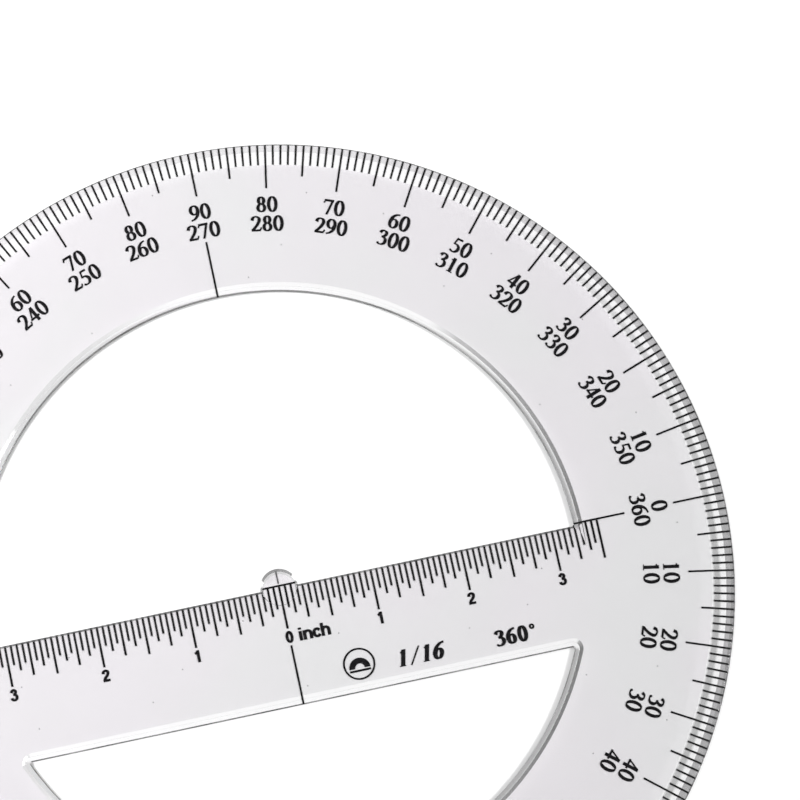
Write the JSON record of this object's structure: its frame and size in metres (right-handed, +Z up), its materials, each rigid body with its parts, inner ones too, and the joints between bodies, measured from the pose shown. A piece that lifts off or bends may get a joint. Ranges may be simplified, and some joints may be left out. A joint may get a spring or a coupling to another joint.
{
  "type": "protractor",
  "caption": "Full-circle 360 degree protractor: a flat clear plastic ring with a bevelled rim, a ruler crossbar across its open centre and a small centre tab.",
  "frame": {"origin": "centre of the degree circle, on the underside that lies on the paper", "axes": "+X towards the 0 degree mark along the crossbar, +Y towards the 90 degree mark, +Z up, away from the paper"},
  "size_m": [0.2494, 0.2494, 0.0022],
  "materials": {
    "clear_plastic": "clear moulded polystyrene, polished faces, faint lilac-grey tint, fine handling scratches",
    "black_ink": "dense black marking ink, slightly soft at its edges"
  },
  "bodies": {
    "root": {"clear_plate": "clear_plastic", "degree_mark_000": "black_ink", "degree_mark_010": "black_ink", "degree_mark_020": "black_ink", "degree_mark_030": "black_ink", "degree_mark_040": "black_ink", "degree_mark_050": "black_ink", "degree_mark_060": "black_ink", "degree_mark_070": "black_ink", "degree_mark_080": "black_ink", "degree_mark_090": "black_ink", "degree_mark_100": "black_ink", "degree_mark_110": "black_ink", "degree_mark_120": "black_ink", "degree_mark_130": "black_ink", "degree_mark_140": "black_ink", "degree_mark_150": "black_ink", "degree_mark_160": "black_ink", "degree_mark_170": "black_ink", "degree_mark_180": "black_ink", "degree_mark_190": "black_ink", "degree_mark_200": "black_ink", "degree_mark_210": "black_ink", "degree_mark_220": "black_ink", "degree_mark_230": "black_ink", "degree_mark_240": "black_ink", "degree_mark_250": "black_ink", "degree_mark_260": "black_ink", "degree_mark_270": "black_ink", "degree_mark_280": "black_ink", "degree_mark_290": "black_ink", "degree_mark_300": "black_ink", "degree_mark_310": "black_ink", "degree_mark_320": "black_ink", "degree_mark_330": "black_ink", "degree_mark_340": "black_ink", "degree_mark_350": "black_ink", "index_mark_000": "black_ink", "index_mark_090": "black_ink", "index_mark_180": "black_ink", "index_mark_270": "black_ink", "inch_mark_left_3_5": "black_ink", "inch_mark_left_3_0": "black_ink", "inch_mark_left_2_5": "black_ink", "inch_mark_left_2_0": "black_ink", "inch_mark_left_1_5": "black_ink", "inch_mark_left_1_0": "black_ink", "inch_mark_left_0_5": "black_ink", "inch_mark_zero": "black_ink", "inch_mark_right_0_5": "black_ink", "inch_mark_right_1_0": "black_ink", "inch_mark_right_1_5": "black_ink", "inch_mark_right_2_0": "black_ink", "inch_mark_right_2_5": "black_ink", "inch_mark_right_3_0": "black_ink", "inch_mark_right_3_5": "black_ink", "centre_baseline": "black_ink", "centre_meridian": "black_ink", "crossbar_meridian": "black_ink"}
  },
  "joints": []
}
